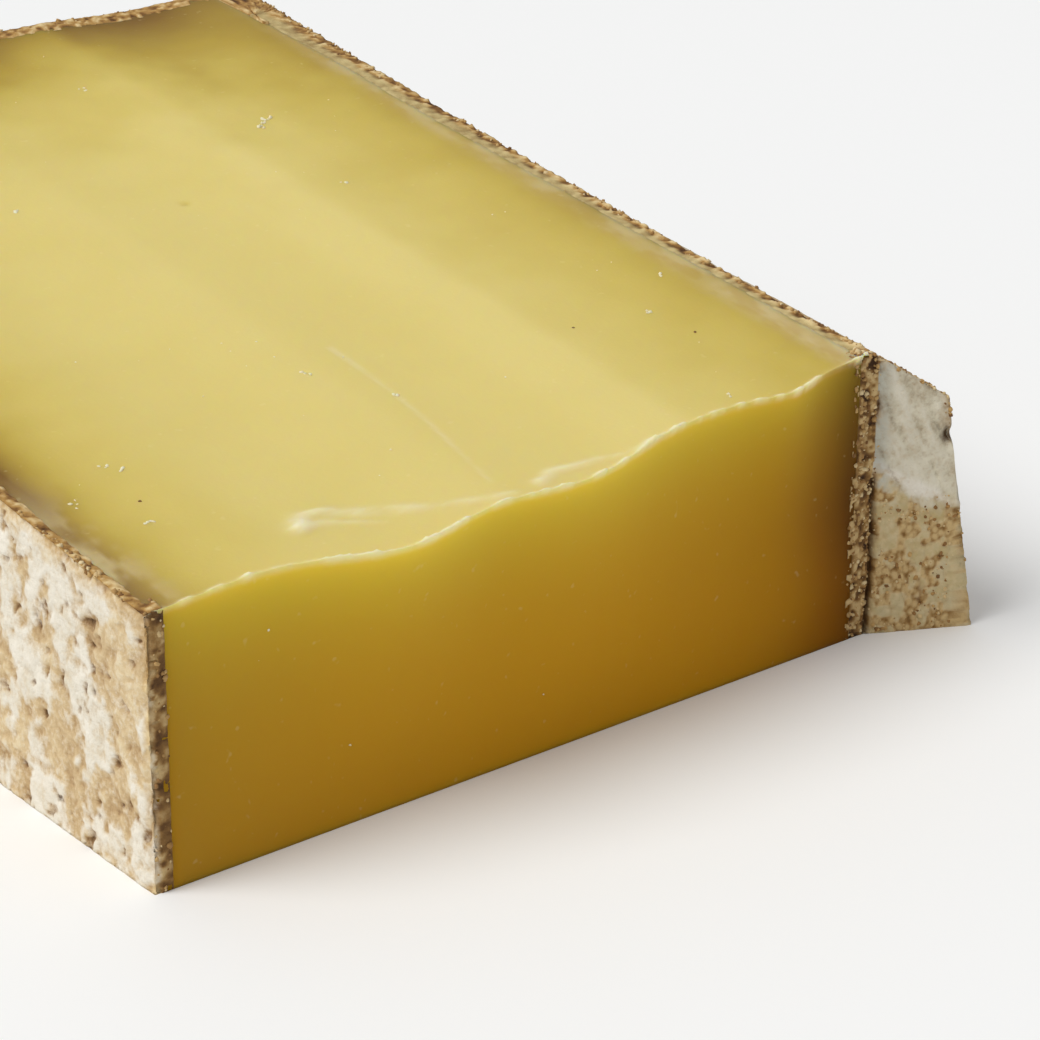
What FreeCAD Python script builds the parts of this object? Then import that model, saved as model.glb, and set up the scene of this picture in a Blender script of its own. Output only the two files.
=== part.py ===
import FreeCAD, Part
import Sketcher
import math
import os

from FreeCAD import Placement, Rotation, Vector

# Wedge-shaped block of a mountain cheese wheel, lying on one of its cut faces. Millimetres, one solid.
#
# The faces are made in the order in which the real ones come about:
#   wheel_slab     the rind faces left and right; the right one has a shoulder that slopes to the upper cut
#   wheel_rim      the revolved rim of the wheel, whose convex heel closes the block at the back
#   board          the flat cut that the block lies on
#   top_knife      the upper cut: it rises to the back and to the right and carries shallow knife waves
#   front_knife    the front cut: wavy along its upper edge and straight on the board, and past a crease at its
#                  right end the facet of rind that the knife left standing
#   cheese_block   what is left, with its shoulder rounded
# Working axes: x from the left rind to the right, y from the front cut to the heel, z up from the board.

SIZES = {
    # the block as a whole
    "block_length": 164.0,            # front left corner to the crown of the heel
    "paste_width": 110.0,             # left rind face to the inner side of the right rind, along the upper cut
    "rind_thickness": 3.3,
    "front_height": 34.7,             # at the front left corner
    "rise_to_back": 6.9,              # degrees
    "rise_to_right": 2.0,             # degrees
    # left and right rind faces
    "left_belly": 0.8,
    "shoulder_reach": 8.6,            # how far the flank stands out past its top edge, at the front
    "shoulder_drop": 5.9,             # how far the shoulder lies below that edge
    "shoulder_radius": 3.5,
    "foot_reach": 4.4,                # how much further out the flank stands on the board
    "heel_flare": 3.5,                # how much the top edge spreads towards the heel
    "heel_shoulder_reach": 3.0,
    # heel
    "wheel_radius": 290.0,
    "hub_height": 24.0,               # of the wheel's axis above the board
    "heel_crown_radius": 800.0,       # of the heel from one rind face to the other
    "heel_corner_radius": 13.0,
    "heel_corner_setback": 1.1,       # how far the rim's side lies outside the rind face that it rounds into
    "rim_depth": 210.0,               # how far the revolved rim reaches in towards the hub
    "rim_sector": 60.0,               # degrees
    # upper cut
    "wave_height": 0.45,
    "wave_spacing": 31.0,
    # front cut
    "front_skew": 3.1,                # degrees
    "first_belly_at": 31.0,
    "first_belly_width": 11.0,
    "first_belly_depth": 5.4,
    "second_belly_at": 57.0,
    "second_belly_width": 12.0,
    "second_belly_depth": 4.5,
    "third_belly_at": 96.5,
    "third_belly_width": 7.0,
    "third_belly_depth": 1.7,
    "belly_fade": 1.6,                # power by which the waves fade from the upper edge down to the board
    # rind that stands forward at the right end of the front cut
    "crease_inset": 1.0,              # from the outer side of the rind
    "facet_turn": 25.0,               # degrees
    "facet_corner_radius": 2.5,
    "facet_corner_turn": 85.0,        # degrees by which the corner turns from the facet into the flank
    "facet_corner_clearance": 0.3,    # between the end of that corner and the foot of the flank
    # how far the cutting solids reach past the faces that they cut
    "overrun": 8.0,
}

document = FreeCAD.newDocument("cheese")


def make_sheet(sizes):
    """Spreadsheet with one named cell for each driving size."""
    cells = document.addObject("Spreadsheet::Sheet", "sizes")
    for row, (name, value) in enumerate(sizes.items(), start=1):
        cells.set("A%d" % row, name)
        cells.set("B%d" % row, str(value))
        cells.setAlias("B%d" % row, name)
    document.recompute()
    return cells


sheet = make_sheet(SIZES)


def size(name):
    return float(getattr(sheet, name))


def slope(name):
    return math.tan(math.radians(size(name)))


def top_height(x, y):
    """Height of the upper cut above the board, without its waves."""
    return size("front_height") + x * slope("rise_to_right") + y * slope("rise_to_back")


def top_edge_x():
    """Where the outer side of the right rind meets the upper cut, at the front."""
    return size("paste_width") + size("rind_thickness")


# The same two, as expressions for the sketches.
TOP_HEIGHT = ("(sizes.front_height + ({x}) * tan(sizes.rise_to_right * 1 deg)"
              " + ({y}) * tan(sizes.rise_to_back * 1 deg))")
TOP_EDGE_X = "(sizes.paste_width + sizes.rind_thickness)"


def origin_plane(body, role):
    return next(plane for plane in body.Origin.OriginFeatures if plane.Role == role)


def plane_sketch(body, name, role):
    sketch = body.newObject("Sketcher::SketchObject", name)
    sketch.AttachmentSupport = (origin_plane(body, role), [""])
    sketch.MapMode = "FlatFace"
    return sketch


def bind(sketch, name, constraint, expression):
    """Adds a named constraint whose value is an expression of the sheet's cells."""
    number = sketch.addConstraint(constraint)
    sketch.renameConstraint(number, name)
    sketch.setExpression("Constraints." + name, expression)


def station_sketch(body, name, station, left, flare, reach):
    """Cross-section of the slab at y = station: a closed outline of five corners.

    The right side goes from below the board up to the shoulder, from there inwards to the top edge, and on past
    that, so that the board and the upper cut each take a spare overrun off. left, flare and reach are
    expressions for how far the left face, the right top edge and the shoulder stand out.
    """
    sketch = plane_sketch(body, name, "XZ_Plane")
    sketch.setExpression("AttachmentOffset.Base.z", "-(%s)" % station)
    edge_x = "%s + %s" % (TOP_EDGE_X, flare)
    edge_height = TOP_HEIGHT.format(x=TOP_EDGE_X, y=station)
    left_height = TOP_HEIGHT.format(x="0", y=station)
    shoulder_height = "(%s - sizes.shoulder_drop)" % edge_height
    foot_reach = "sizes.foot_reach * (1 + sizes.overrun / %s)" % shoulder_height
    corners = {
        "foot_left": ("-(%s)" % left, "-sizes.overrun"),
        "foot_right": ("%s + %s + %s" % (edge_x, reach, foot_reach), "-sizes.overrun"),
        "shoulder": ("%s + %s" % (edge_x, reach), shoulder_height),
        "spare_right": ("%s - sizes.overrun * %s / sizes.shoulder_drop" % (edge_x, reach),
                        "%s + sizes.overrun" % edge_height),
        "spare_left": ("-(%s)" % left, "%s + sizes.overrun" % left_height),
    }
    rough = [Vector(-1, -8), Vector(126, -8), Vector(120, 30), Vector(105, 50), Vector(-1, 45)]
    for here, there in zip(rough, rough[1:] + rough[:1]):
        sketch.addGeometry(Part.LineSegment(here, there))
    for index, (corner, (across, up)) in enumerate(corners.items()):
        sketch.addConstraint(Sketcher.Constraint("Coincident", index - 1 if index else 4, 2, index, 1))
        bind(sketch, corner + "_x",
             Sketcher.Constraint("DistanceX", -1, 1, index, 1, rough[index].x), across)
        bind(sketch, corner + "_z",
             Sketcher.Constraint("DistanceY", -1, 1, index, 1, rough[index].y), up)
    return sketch


def make_wheel_slab():
    """Loft through three cross-sections."""
    body = document.addObject("PartDesign::Body", "wheel_slab")
    front = station_sketch(body, "front_section", "-3 * sizes.overrun", "0", "0", "sizes.shoulder_reach")
    middle = station_sketch(body, "middle_section", "sizes.block_length / 2", "sizes.left_belly", "0",
                            "sizes.shoulder_reach")
    back = station_sketch(body, "back_section", "sizes.block_length + sizes.overrun", "0",
                          "sizes.heel_flare", "sizes.heel_shoulder_reach")
    loft = body.newObject("PartDesign::AdditiveLoft", "slab_loft")
    loft.Profile = front
    loft.Sections = [middle, back]
    return body


def make_wheel_rim():
    """Sector of the wheel's rim, revolved about the wheel's axis, which is the sketch's horizontal axis.

    The profile is a ring section: two sides and, at the wheel's radius, the crowned heel between two corner
    arcs. Each corner arc touches its side and the heel.
    """
    body = document.addObject("PartDesign::Body", "wheel_rim")
    sketch = plane_sketch(body, "rim_profile", "XY_Plane")
    sketch.setExpression("AttachmentOffset.Base.y", "sizes.block_length - sizes.wheel_radius")
    sketch.setExpression("AttachmentOffset.Base.z", "sizes.hub_height")

    left_side = "-sizes.left_belly - sizes.heel_corner_setback"
    heel_side = "%s + sizes.heel_flare + sizes.heel_shoulder_reach + sizes.foot_reach" % TOP_EDGE_X
    left_x = -size("left_belly") - size("heel_corner_setback")
    heel_x = top_edge_x() + size("heel_flare") + size("heel_shoulder_reach") + size("foot_reach")
    wide_x = heel_x + size("shoulder_reach")
    middle_x = (left_x + heel_x) / 2
    inner = size("wheel_radius") - size("rim_depth")
    crown, corner = size("heel_crown_radius"), size("heel_corner_radius")
    crown_y = size("wheel_radius") - crown

    # centres of the corner arcs and the angle at which they meet the heel
    rise = math.sqrt((crown - corner) ** 2 - (middle_x - left_x - corner) ** 2)
    corner_y = crown_y + rise
    meeting = math.atan2(rise, middle_x - left_x - corner)
    axis = Vector(0, 0, 1)

    def arc(x, y, radius, start, end):
        return Part.ArcOfCircle(Part.Circle(Vector(x, y, 0), axis, radius), start, end)

    inner_left, inner_right = Vector(left_x, inner, 0), Vector(wide_x, inner, 0)
    left_foot, right_foot = Vector(left_x, corner_y, 0), Vector(heel_x, corner_y, 0)
    left_side_line = sketch.addGeometry(Part.LineSegment(inner_left, left_foot))
    left_corner = sketch.addGeometry(arc(left_x + corner, corner_y, corner, math.pi - meeting, math.pi))
    heel = sketch.addGeometry(arc(middle_x, crown_y, crown, meeting, math.pi - meeting))
    right_corner = sketch.addGeometry(arc(heel_x - corner, corner_y, corner, 0, meeting))
    right_side_line = sketch.addGeometry(Part.LineSegment(right_foot, inner_right))
    inner_line = sketch.addGeometry(Part.LineSegment(inner_right, inner_left))

    joints = [("Tangent", left_side_line, 2, left_corner, 2), ("Tangent", left_corner, 1, heel, 2),
              ("Tangent", heel, 1, right_corner, 2), ("Coincident", right_corner, 1, right_side_line, 1),
              ("Coincident", right_side_line, 2, inner_line, 1),
              ("Coincident", inner_line, 2, left_side_line, 1),
              ("Vertical", left_side_line), ("Horizontal", inner_line)]
    for joint in joints:
        sketch.addConstraint(Sketcher.Constraint(*joint))
    bind(sketch, "left_side", Sketcher.Constraint("DistanceX", -1, 1, left_side_line, 1, left_x), left_side)
    bind(sketch, "inner", Sketcher.Constraint("DistanceY", -1, 1, inner_line, 1, inner),
         "sizes.wheel_radius - sizes.rim_depth")
    bind(sketch, "wide_side", Sketcher.Constraint("DistanceX", -1, 1, inner_line, 1, wide_x),
         "%s + sizes.shoulder_reach" % heel_side)
    bind(sketch, "heel_side", Sketcher.Constraint("DistanceX", -1, 1, right_side_line, 1, heel_x), heel_side)
    bind(sketch, "heel_centre_x", Sketcher.Constraint("DistanceX", -1, 1, heel, 3, middle_x),
         "(%s + %s) / 2" % (left_side, heel_side))
    bind(sketch, "heel_centre_y", Sketcher.Constraint("DistanceY", -1, 1, heel, 3, crown_y),
         "sizes.wheel_radius - sizes.heel_crown_radius")
    bind(sketch, "heel_radius", Sketcher.Constraint("Radius", heel, crown), "sizes.heel_crown_radius")
    bind(sketch, "left_radius", Sketcher.Constraint("Radius", left_corner, corner),
         "sizes.heel_corner_radius")
    bind(sketch, "right_radius", Sketcher.Constraint("Radius", right_corner, corner),
         "sizes.heel_corner_radius")

    rim = body.newObject("PartDesign::Revolution", "rim_revolution")
    rim.Profile = sketch
    rim.ReferenceAxis = (sketch, ["H_Axis"])
    rim.setExpression("Angle", "sizes.rim_sector")
    rim.Midplane = True
    return body


def feature(name, shape):
    item = document.addObject("Part::Feature", name)
    item.Shape = shape
    return item


def spline_through(points):
    curve = Part.BSplineCurve()
    curve.interpolate(points)
    return curve.toShape()


def closed_wire(first_edge, first, *rest):
    """Wire that starts with an edge ending at first and goes through the rest by straight lines."""
    corners = [first, *rest]
    return Part.Wire([first_edge] + [Part.makeLine(a, b) for a, b in zip(corners, corners[1:])])


def make_board():
    """Solid below the block: its upper side is the flat radial cut that the block lies on."""
    board = document.addObject("Part::Box", "board")
    board.setExpression("Length", "2 * sizes.paste_width")
    board.setExpression("Width", "2 * sizes.block_length")
    board.setExpression("Height", "2 * sizes.overrun")
    board.setExpression("Placement.Base.x", "-sizes.paste_width / 2")
    board.setExpression("Placement.Base.y", "-sizes.block_length / 2")
    board.setExpression("Placement.Base.z", "-2 * sizes.overrun")
    return board


def make_top_knife():
    """Solid above the upper cut: a wave across the block, drawn out along the slope to the heel.

    The wave is the curve through its crests and troughs, half a spacing apart.
    """
    step = size("wave_spacing") / 2
    start_y = -3 * size("overrun")
    first_x = -step
    count = math.ceil((top_edge_x() + size("shoulder_reach") + size("foot_reach") + 2 * step) / step) + 1
    points = []
    for index in range(count):
        x = first_x + index * step
        drop = size("wave_height") * (1 if index % 2 else 0)
        points.append(Vector(x, start_y, top_height(x, start_y) - drop))
    length = size("block_length") + 5 * size("overrun")
    ceiling = 2 * top_height(points[-1].x, start_y + length)
    wave = closed_wire(spline_through(points), points[-1], Vector(points[-1].x, start_y, ceiling),
                       Vector(first_x, start_y, ceiling), points[0])
    return feature("top_knife", Part.Face(wave).extrude(Vector(0, length, length * slope("rise_to_back"))))


def crease_x():
    return top_edge_x() - size("crease_inset")


def front_cut_y(x, z):
    """Where the front cut lies: a skew plane from which three bellies stand forward.

    Each belly is a bell curve in x. They all fade from the upper edge to nothing on the board.
    """
    fade = (max(z, 0) / top_height(x, 0)) ** size("belly_fade")
    bellies = sum(size(belly + "_depth") * math.exp(-((x - size(belly + "_at")) / size(belly + "_width")) ** 2)
                  for belly in ("first_belly", "second_belly", "third_belly"))
    return x * slope("front_skew") - fade * bellies


def front_outline(z):
    """Outline of the front knife at height z: the cut, the facet and its corner, then round the front.

    The facet runs forward from the crease. The corner arc touches it and turns back until it passes the foot of
    the flank, from where the outline goes straight on.
    """
    start_x, front_y = -size("overrun"), -4 * size("overrun")
    spans = 18
    step = (crease_x() - start_x) / spans
    cut_line = [Vector(x, front_cut_y(x, z), z) for x in (start_x + step * index for index in range(spans + 1))]

    turn, corner_turn = math.radians(size("facet_turn")), math.radians(size("facet_corner_turn"))
    radius = size("facet_corner_radius")
    foot_x = top_edge_x() + size("shoulder_reach") + size("foot_reach") + size("facet_corner_clearance")

    def on_corner(angle):
        """Point of the corner arc once it has turned by angle, from the arc's centre."""
        return Vector(-math.sin(turn - angle), -math.cos(turn - angle), 0) * radius

    crease = cut_line[-1]
    along = Vector(math.cos(turn), -math.sin(turn), 0)
    centre_x = foot_x - on_corner(corner_turn).x
    facet_end = crease + along * ((centre_x + on_corner(0).x - crease.x) / along.x)
    centre = facet_end - on_corner(0)
    corner_end = centre + on_corner(corner_turn)
    corner = Part.Arc(facet_end, centre + on_corner(corner_turn / 2), corner_end).toShape()
    past = corner_end + Vector(math.cos(corner_turn - turn), math.sin(corner_turn - turn), 0) * size("overrun")

    corners = [corner_end, past, Vector(past.x, front_y, z), Vector(start_x, front_y, z), cut_line[0]]
    straight = [Part.makeLine(here, there) for here, there in zip(corners, corners[1:])]
    return Part.Wire([spline_through(cut_line), Part.makeLine(crease, facet_end), corner] + straight)


def make_front_knife():
    """Solid in front of the cut: a loft upwards through outlines that turn from straight to wavy."""
    top = top_height(crease_x(), 0) + size("overrun")
    return feature("front_knife", Part.makeLoft(
        [front_outline(z) for z in (-size("overrun"), top * 0.25, top * 0.6, top)], True, False))


def cut(name, base, knife):
    item = document.addObject("Part::Cut", name)
    item.Base = base
    item.Tool = knife
    return item


def is_shoulder(edge):
    """True for the edge along the right flank that stands furthest out above the board."""
    box = edge.BoundBox
    return box.YLength > size("block_length") / 2 and box.ZMin > 1 and box.XMin > top_edge_x() + 1


def make_cheese_block():
    """Slab and rim in common, less the board and the two knives, its shoulder rounded, over the origin."""
    between_rinds = document.addObject("Part::Common", "slab_within_wheel")
    between_rinds.Base = make_wheel_slab()
    between_rinds.Tool = make_wheel_rim()
    lying = cut("lower_cut", between_rinds, make_board())
    sharp = cut("front_cut", cut("upper_cut", lying, make_top_knife()), make_front_knife())
    document.recompute()

    shoulder = [number for number, edge in enumerate(sharp.Shape.Edges, start=1) if is_shoulder(edge)]
    block = document.addObject("Part::Fillet", "cheese_block")
    block.Base = sharp
    block.Edges = [(number, size("shoulder_radius"), size("shoulder_radius")) for number in shoulder]
    document.recompute()

    box = block.Shape.optimalBoundingBox()
    block.Placement = Placement(Vector(-box.Center.x, -box.Center.y, -box.ZMin), Rotation())
    return block


def check_and_export(parts):
    for item in document.Objects:
        faults = {"Invalid", "Error"} & set(item.State)
        if faults:
            raise RuntimeError("%s is %s" % (item.Name, ", ".join(sorted(faults))))
    os.makedirs("parts", exist_ok=True)
    for item in parts:
        shape = item.Shape
        if shape.isNull() or not shape.isValid() or len(shape.Solids) != 1:
            raise RuntimeError("%s has no valid single solid" % item.Label)
        shape.exportStep("parts/%s.step" % item.Label)
        box = shape.optimalBoundingBox()
        print("%s: %.1f x %.1f x %.1f mm, %.1f cm3" % (item.Label, box.XLength, box.YLength, box.ZLength,
                                                      shape.Volume / 1000))


check_and_export([make_cheese_block()])
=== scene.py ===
# %% [markdown]
# # A block of gruyere, cut from the wheel
# A wedge-shaped block of hard mountain cheese with a natural rind lies on one of its cut faces. The packed
# CAD solid gives its size and place. Here it is replaced by the two things that a cheesemonger would name:
# the paste, smooth and translucent, and the rind, a rough crust with mould.

# %% The frame
import math
from functools import partial
from itertools import combinations, product

import bpy
import numpy as np
from mathutils import Matrix, Vector


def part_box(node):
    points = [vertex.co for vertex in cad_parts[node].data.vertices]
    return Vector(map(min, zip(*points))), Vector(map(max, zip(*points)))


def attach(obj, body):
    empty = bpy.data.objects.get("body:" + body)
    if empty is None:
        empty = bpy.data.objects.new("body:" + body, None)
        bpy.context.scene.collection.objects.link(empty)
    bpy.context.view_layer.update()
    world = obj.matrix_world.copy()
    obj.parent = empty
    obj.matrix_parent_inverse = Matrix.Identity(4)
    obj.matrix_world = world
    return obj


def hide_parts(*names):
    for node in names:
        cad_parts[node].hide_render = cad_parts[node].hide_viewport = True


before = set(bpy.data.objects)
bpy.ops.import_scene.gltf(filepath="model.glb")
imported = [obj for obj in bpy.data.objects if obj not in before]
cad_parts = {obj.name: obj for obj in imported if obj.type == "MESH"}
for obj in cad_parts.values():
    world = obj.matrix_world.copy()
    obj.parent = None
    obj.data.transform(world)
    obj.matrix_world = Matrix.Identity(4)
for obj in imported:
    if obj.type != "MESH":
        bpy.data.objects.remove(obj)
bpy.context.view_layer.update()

# %% [markdown]
# ## Working axes
# All shapes are worked out in millimetres on the block's own axes: x from the left rind to the right one,
# y from the front left corner to the heel, z up from the board. The block's box tells where that corner is.

# %% Sizes in millimetres
MM = 0.001  # metres
BLOCK_LENGTH = 164.0  # front left corner to the crown of the heel
PASTE_WIDTH = 110.0  # left side to the inner side of the right rind
RIND, LEFT_RIND, LEAST_RIND = 3.3, 1.2, 1.2  # thickness at heel and right, at the left, and at least
FRONT_HEIGHT = 34.7  # at the front left corner
RISE_TO_BACK = math.tan(math.radians(6.9))
RISE_TO_RIGHT = math.tan(math.radians(2.0))
LEFT_BELLY = 0.8  # how far the left side bulges

box_low, box_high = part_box("cheese_block")
CORNER = np.array([box_low.x / MM + LEFT_BELLY, box_high.y / MM - BLOCK_LENGTH, 0.0])
BOX = np.array([box_low, box_high]) / MM - CORNER  # its lowest and highest corner


def to_frame(points):
    """Points on the block's axes, in mm, as metres in the shared frame: shifted by the corner and scaled."""
    return (points + CORNER) * MM


def add_object(name, data):
    """A new object that holds the data, linked to the scene."""
    made = bpy.data.objects.new(name, data)
    bpy.context.scene.collection.objects.link(made)
    return made


print("front left corner, mm:", CORNER.round(2), " box, mm:", [round(v / MM, 1) for v in box_high - box_low])

# %% [markdown]
# ## Camera
# A long lens at the left front, above the block, shows the upper cut, the front cut and the left rind. Its
# matrix is built from three turns: yaw to the right, pitch down and a slight roll.

# %% Camera
CAMERA_PLACE = np.array([-162.9, -280.3, 175.54])  # mm, on the block's axes
YAW, PITCH, ROLL = (math.radians(turn) for turn in (37.314, 21.998, 0.346))

camera_data = bpy.data.cameras.new("camera")
camera_data.lens = 112.5
camera_data.sensor_width = 36.0
camera_data.clip_start = 0.02
camera = add_object("camera", camera_data)
camera.matrix_world = (Matrix.Translation(Vector(to_frame(CAMERA_PLACE)))
                       @ Matrix.Rotation(-YAW, 4, "Z")
                       @ Matrix.Rotation(math.pi / 2 - PITCH, 4, "X")
                       @ Matrix.Rotation(ROLL, 4, "Z"))
bpy.context.scene.camera = camera
print("camera at", [round(v, 3) for v in camera.location])

# %% [markdown]
# ## Noise made of numbers
# A rind grows at random, but each run has to give the same rind. Both noises hash lattice cells into one
# seeded table of random numbers, so they are fixed functions of the place. They read points in space, so
# relief goes round corners without a seam.

# %% Lattice noise and cell noise
RANDOM_TABLE = np.random.default_rng(11).random(8192)
AXIS_PRIMES = np.array([73856093, 19349663, 83492791])  # large primes keep neighbouring cells apart
SEED_STEP = 2654435


def join(*parts):
    """Points from their coordinates, each of which may vary by column, by row, by both or not at all."""
    return np.stack(np.broadcast_arrays(*parts), axis=-1)


def ease(values, start, end):
    """0 before start, 1 after end, and an S-shaped rise between them."""
    part = np.clip((values - start) / (end - start), 0, 1)
    return part * part * (3 - 2 * part)


def cell_value(cells, seed):
    """One random number from 0 to 1 for each whole-numbered cell: its coordinates hashed into the table."""
    mixed = np.bitwise_xor.reduce(cells * AXIS_PRIMES[:cells.shape[-1]], axis=-1)
    return RANDOM_TABLE[(mixed + seed * SEED_STEP) % len(RANDOM_TABLE)]


def soft_noise(points, grain, seed):
    """Noise from 0 to 1: the random values at the corners of cells grain mm wide, eased between them."""
    scaled = points / grain
    cells = np.floor(scaled).astype(np.int64)
    part = ease(scaled - cells, 0, 1)
    total = 0
    for corner in product((0, 1), repeat=points.shape[-1]):
        share = np.prod(np.where(corner, part, 1 - part), axis=-1)
        total = total + share * cell_value(cells + np.array(corner), seed)
    return total


def rough_noise(points, grain, seed, layers=3):
    """Soft noise plus layers of half the grain and half the strength, scaled back to about 0 to 1."""
    strengths = [0.5 ** layer for layer in range(layers)]
    total = sum(strength * soft_noise(points, grain * strength, seed + index)
                for index, strength in enumerate(strengths))
    return total / sum(strengths)


def granules(points, grain, seed):
    """Distances to the nearest and second nearest of scattered centres, one in each cell, in cell widths."""
    scaled = points / grain
    cells = np.floor(scaled).astype(np.int64)
    first = np.full(points.shape[:-1], np.inf)
    second = first.copy()
    for step in product((-1, 0, 1), repeat=points.shape[-1]):
        near = cells + np.array(step)
        centre = near + join(*(cell_value(near, seed + axis) for axis in range(points.shape[-1])))
        distance = np.sqrt(((centre - scaled) ** 2).sum(axis=-1))
        second = np.minimum(second, np.maximum(first, distance))
        first = np.minimum(first, distance)
    return first, second


sample = soft_noise(np.random.default_rng(1).random((2000, 3)) * 50, 4.0, 3)
print("soft noise runs from %.2f to %.2f" % (sample.min(), sample.max()))

# %% [markdown]
# ## The cut faces
# The wire that parts the wheel leaves an almost flat face with shallow waves along its path. The upper cut
# rises towards the heel. The front cut is straight on the board and has three bellies at its upper edge.

# %% Upper cut and front cut
WAVE_HEIGHT = 0.45
WAVE_SPACING = 31.0
FRONT_SKEW = math.tan(math.radians(3.1))
BELLIES = [(34.0, 11.7, 4.7), (59.4, 14.4, 4.0), (97.0, 5.0, 1.5)]  # place, width and depth
BELLY_FADE = 1.6  # power of the height by which they grow towards the edge


def top_z(x, y):
    """Upper cut: a plane that rises to the back and right, less a cosine wave across the block."""
    wave = WAVE_HEIGHT / 2 * (1 + np.cos(2 * np.pi * x / WAVE_SPACING))
    return FRONT_HEIGHT + x * RISE_TO_RIGHT + y * RISE_TO_BACK - wave


def front_y(x, z):
    """Front cut: a skew plane less three bell curves in x, which fade by a power of the height."""
    fade = (np.maximum(z, 0) / top_z(x, 0 * x)) ** BELLY_FADE
    bells = sum(depth * np.exp(-((x - place) / width) ** 2) for place, width, depth in BELLIES)
    return x * FRONT_SKEW - fade * bells


print("height, mm: %.1f at the front left, %.1f at the back right"
      % (top_z(0.0, 0.0), top_z(PASTE_WIDTH, BLOCK_LENGTH)))

# %% [markdown]
# ## The outside of the wheel
# Left, right and back, the block keeps the skin of the wheel. Each side is a function, negative inside and
# positive outside, and a soft maximum joins them with rounded corners. This is simpler than fitting patches
# to each other: any ray from inside finds the skin.

# %% Signed distances to the skin
FRONT_STATION, MIDDLE_STATION, BACK_STATION = -24.0, 82.0, 172.0  # y of three sections of the sides
TOP_EDGE_X, HEEL_FLARE = PASTE_WIDTH + RIND, 3.5  # the right top edge, and how far it spreads at the heel
SHOULDER_DROP, SHOULDER_REACH, HEEL_REACH = 5.9, 8.6, 3.0  # below the edge, and out from it: front and heel
FOOT_REACH = 4.4  # how much further out the flank stands on the board
WHEEL_RADIUS, HUB_HEIGHT = 290.0, 24.0
CROWN_RADIUS, HEEL_CORNER = 800.0, 13.0
HUB_Y = BLOCK_LENGTH - WHEEL_RADIUS
RIM_LEFT, RIM_RIGHT = -1.9, 124.2
RIM_MIDDLE = (RIM_LEFT + RIM_RIGHT) / 2
RIM_FLAT = RIM_MIDDLE - RIM_LEFT - HEEL_CORNER  # half the width of the heel's crowned face
CROWN_CENTRE = WHEEL_RADIUS - CROWN_RADIUS
CORNER_CENTRE = CROWN_CENTRE + math.sqrt((CROWN_RADIUS - HEEL_CORNER) ** 2 - RIM_FLAT ** 2)
CREASE_X = TOP_EDGE_X - 1.0
FACET_TURN = math.radians(25.0)
RIM_SPREAD, SPREAD_FROM, SPREAD_TO = 4.0, 60.0, 150.0  # how much its sides widen, and between which y
HEEL_BLEND, FLANK_BLEND, FRONT_BLEND = 0.4, 0.5, 0.12  # over how much two sides round into each other
FRONT_RIND = 2.5  # thickness of what folds onto the front cut
FURTHEST = 60.0  # mm, longer than any ray from inside to the skin


def soft_max(a, b, blend):
    """Larger of two values, rounded over about blend mm where they are alike."""
    return np.logaddexp(a / blend, b / blend) * blend


def left_side(x, y):
    """Left side: a parabola through 0 at the outer stations and LEFT_BELLY mm out at the middle one."""
    return -x - (LEFT_BELLY * (y - FRONT_STATION) * (BACK_STATION - y)
                 / ((MIDDLE_STATION - FRONT_STATION) * (BACK_STATION - MIDDLE_STATION)))


def bow(y):
    """Parabola through 0 at the first two stations and 1 at the last."""
    return ((y - FRONT_STATION) * (y - MIDDLE_STATION)
            / ((BACK_STATION - FRONT_STATION) * (BACK_STATION - MIDDLE_STATION)))


def edge_x(y):
    """Where the right top edge lies."""
    return TOP_EDGE_X + HEEL_FLARE * bow(y)


def flank(x, y, z):
    """Right side: from the foot it leans in to the shoulder, and above that falls back to the top edge."""
    edge = edge_x(y)
    reach = SHOULDER_REACH - (SHOULDER_REACH - HEEL_REACH) * bow(y)
    edge_z = top_z(edge, y)
    shoulder_z = edge_z - SHOULDER_DROP
    below = x - (edge + reach + FOOT_REACH * (shoulder_z - z) / shoulder_z)
    above = x - (edge + reach * (edge_z - z) / SHOULDER_DROP)
    return soft_max(below, above, 0.08 + 0.4 * ease(y, -2, 10))  # sharp beside the facet, rounder behind


def rim(x, y, z):
    """Heel: a crowned ring about the wheel's axis, with rounded corners. Its sides widen to the front."""
    radius = np.hypot(y - HUB_Y, z - HUB_HEIGHT)
    out = np.abs(x - RIM_MIDDLE) - RIM_FLAT
    up = radius - CORNER_CENTRE
    corner = np.hypot(out, up) - HEEL_CORNER
    sides = out - HEEL_CORNER - RIM_SPREAD * (1 - ease(y, SPREAD_FROM, SPREAD_TO))
    plain = np.maximum(sides, np.hypot(x - RIM_MIDDLE, radius - CROWN_CENTRE) - CROWN_RADIUS)
    return np.where((out > 0) & (up > 0), corner, plain)


def front_side(x, y, z):
    """Front cut, and beyond the crease the facet of rind that the knife left standing."""
    cut = front_y(x, z) - y
    crease_y = front_y(np.full_like(x, CREASE_X), z)
    facet = -math.sin(FACET_TURN) * (x - CREASE_X) - math.cos(FACET_TURN) * (y - crease_y)
    return np.minimum(cut, facet)


def outside(x, y, z):
    """Distance outside the block's skin, in mm, negative inside."""
    skin = soft_max(soft_max(left_side(x, y), rim(x, y, z), HEEL_BLEND), flank(x, y, z), FLANK_BLEND)
    return soft_max(skin, front_side(x, y, z), FRONT_BLEND)


def inside_wall(x, y, z):
    """The same for the inner side of the rind, where the paste begins."""
    inner_rim = rim(x, y + RIND, z)
    return np.maximum.reduce([LEFT_RIND - x, x - PASTE_WIDTH, inner_rim, front_side(x, y - FRONT_RIND, z)])


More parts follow.
